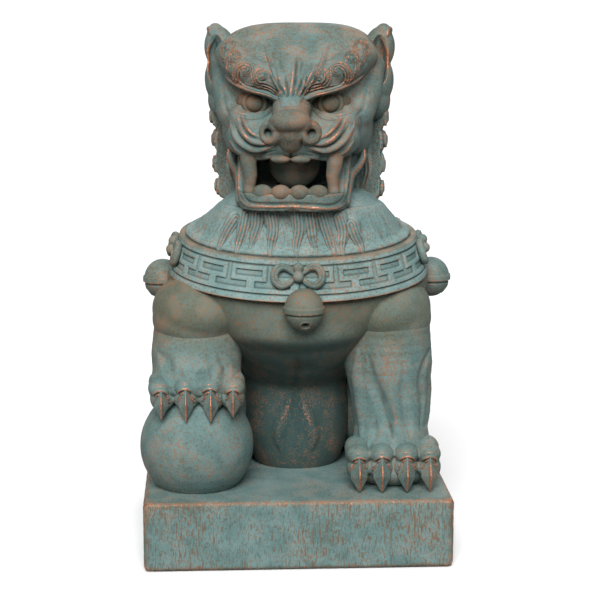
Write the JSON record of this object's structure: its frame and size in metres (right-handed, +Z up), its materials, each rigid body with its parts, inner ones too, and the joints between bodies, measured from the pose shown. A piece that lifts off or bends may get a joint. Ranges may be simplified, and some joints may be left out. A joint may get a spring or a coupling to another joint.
{
  "type": "guardian lion statue",
  "caption": "Seated guardian lion on a plinth, one forepaw on a ball, open mouth holding a loose rolling ball, belled collar; stands as a gate or garden ornament.",
  "frame": {"origin": "centre of the plinth's underside", "axes": "+Z up; the lion faces -Y; +X is the lion's own left"},
  "size_m": [0.2529, 0.2271, 0.416],
  "materials": {
    "patina": "cast stone with a matt verdigris patina, worn to copper on the ridges",
    "plinth_patina": "cast stone with a verdigris patina brushed downward in fine strokes",
    "ball_patina": "smooth cast stone with a dull verdigris patina"
  },
  "bodies": {
    "statue": {"plinth": "plinth_patina", "torso": "patina", "neck_ruff": "patina", "collar": "patina", "front_bow": "patina", "left_bow": "patina", "right_bow": "patina", "front_bell": "patina", "left_bell": "patina", "right_bell": "patina", "left_shoulder": "patina", "right_shoulder": "patina", "left_foreleg": "patina", "right_foreleg": "patina", "left_fore_toes": "patina", "right_fore_toes": "patina", "left_claws": "patina", "right_claws": "patina", "paw_ball": "patina", "left_haunch": "patina", "right_haunch": "patina", "left_hind_paw": "patina", "right_hind_paw": "patina", "tail": "patina", "lower_jaw": "patina", "head": "patina", "nose": "patina", "left_eyelid": "patina", "right_eyelid": "patina", "left_eye": "patina", "right_eye": "patina", "left_ear": "patina", "right_ear": "patina", "upper_fangs": "patina", "upper_incisors": "patina", "lower_teeth": "patina", "mane": "patina", "beard": "patina"},
    "mouth_ball": {"mouth_ball": "ball_patina"}
  },
  "joints": [
    {"name": "mouth_ball_roll", "type": "hinge", "parent": "statue", "child": "mouth_ball", "pos_m": [-0.00012, -0.04257, 0.3093], "axis": [0.9903, -0.1392, 0], "continuous": true}
  ]
}
